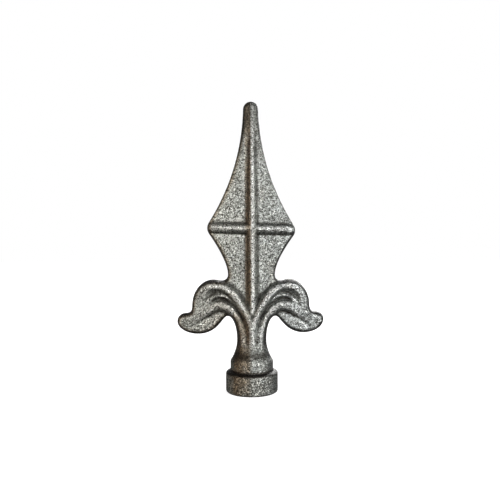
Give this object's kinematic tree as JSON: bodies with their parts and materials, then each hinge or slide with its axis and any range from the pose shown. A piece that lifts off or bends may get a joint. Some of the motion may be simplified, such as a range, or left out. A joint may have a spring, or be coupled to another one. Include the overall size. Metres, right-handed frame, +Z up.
{
  "type": "spear point finial",
  "caption": "Iron spear point finial: flat ribbed blade over curled leaves, a round neck, a cup and a round collar with a flat underside for a fence picket or gate bar.",
  "frame": {"origin": "centre of the collar's flat underside", "axes": "+Z up the neck to the point, +X to the right of the front face, -Y to the front"},
  "size_m": [0.0727, 0.0258, 0.1442],
  "materials": {
    "iron": "bare grey iron, grainy as struck and blasted, with faint brown rust in the hollows"
  },
  "bodies": {
    "root": {"spear_finial": "iron"}
  },
  "joints": []
}
